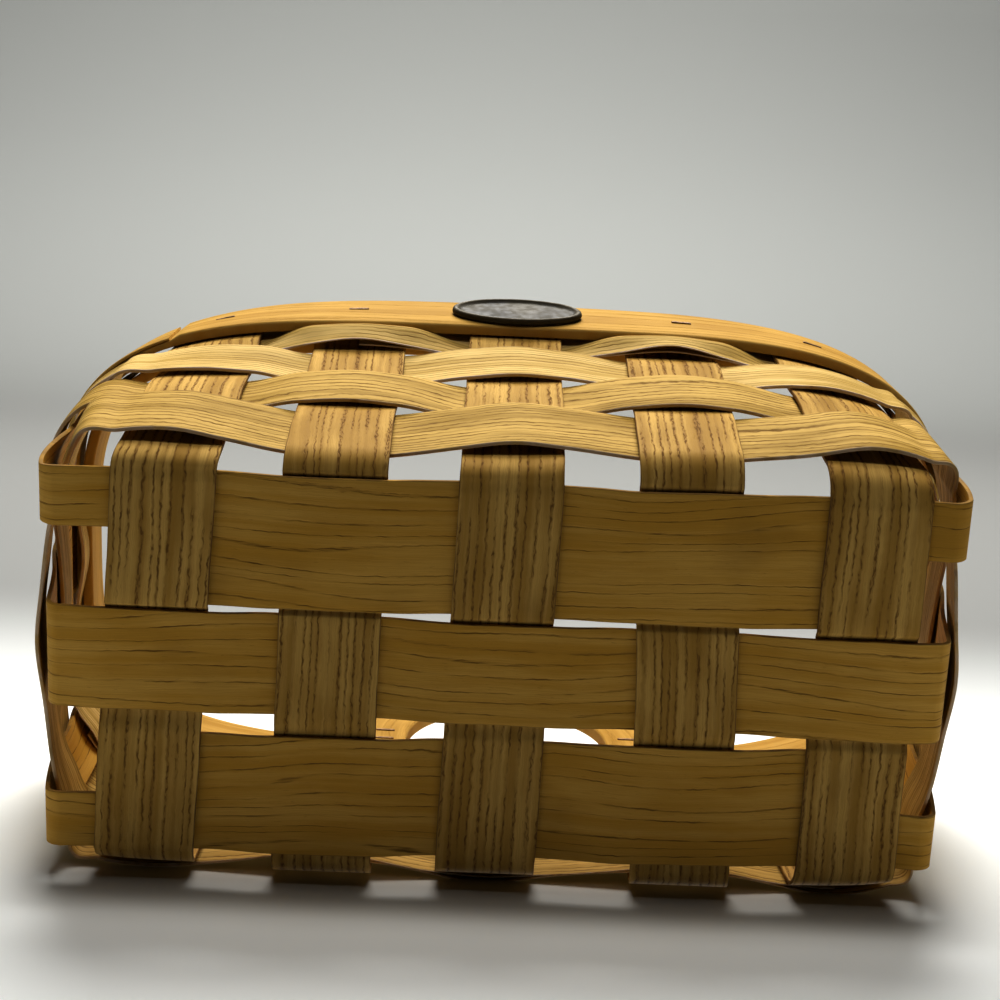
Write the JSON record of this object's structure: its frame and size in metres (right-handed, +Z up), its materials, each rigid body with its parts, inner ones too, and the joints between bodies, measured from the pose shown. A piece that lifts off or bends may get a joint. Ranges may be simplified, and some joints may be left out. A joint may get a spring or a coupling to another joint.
{
  "type": "splint basket",
  "caption": "Small oblong basket of flat woven ash splints with a bentwood rim, an oval rim plate and an upright hanging loop at the back.",
  "frame": {"origin": "on the surface the basket stands on, under the middle of its outline", "axes": "+Z up through the mouth, +X along the length, the rim plate faces -Y and the hanging loop stands at +Y"},
  "size_m": [0.2534, 0.1486, 0.143],
  "materials": {
    "ash_splint": "oiled splint with dark open pores, satin",
    "ash_weaver": "oiled splint with fine dark grain, satin",
    "ash_rim": "smooth milled strip, satin",
    "pewter": "dark cast metal, rubbed brighter on its border",
    "staple_wire": "browned wire"
  },
  "bodies": {
    "root": {"cross_stake_1": "ash_splint", "cross_stake_2": "ash_splint", "cross_stake_3": "ash_splint", "cross_stake_4": "ash_splint", "cross_stake_5": "ash_splint", "long_stake_front": "ash_splint", "long_stake_middle": "ash_splint", "long_stake_back": "ash_splint", "weaver_1": "ash_weaver", "weaver_2": "ash_weaver", "weaver_3": "ash_weaver", "weaver_4": "ash_weaver", "outer_rim_hoop": "ash_rim", "inner_rim_hoop": "ash_rim", "hanging_loop": "ash_rim", "rim_plate": "pewter", "rim_staple_1": "staple_wire", "rim_staple_2": "staple_wire", "rim_staple_3": "staple_wire", "rim_staple_4": "staple_wire", "rim_staple_5": "staple_wire", "rim_staple_6": "staple_wire", "rim_staple_7": "staple_wire", "rim_staple_8": "staple_wire", "rim_staple_9": "staple_wire", "rim_staple_10": "staple_wire", "rim_staple_11": "staple_wire", "rim_staple_12": "staple_wire", "rim_staple_13": "staple_wire", "rim_staple_14": "staple_wire", "rim_staple_15": "staple_wire", "loop_staple_1": "staple_wire", "loop_staple_2": "staple_wire", "loop_staple_3": "staple_wire", "loop_staple_4": "staple_wire"}
  },
  "joints": []
}
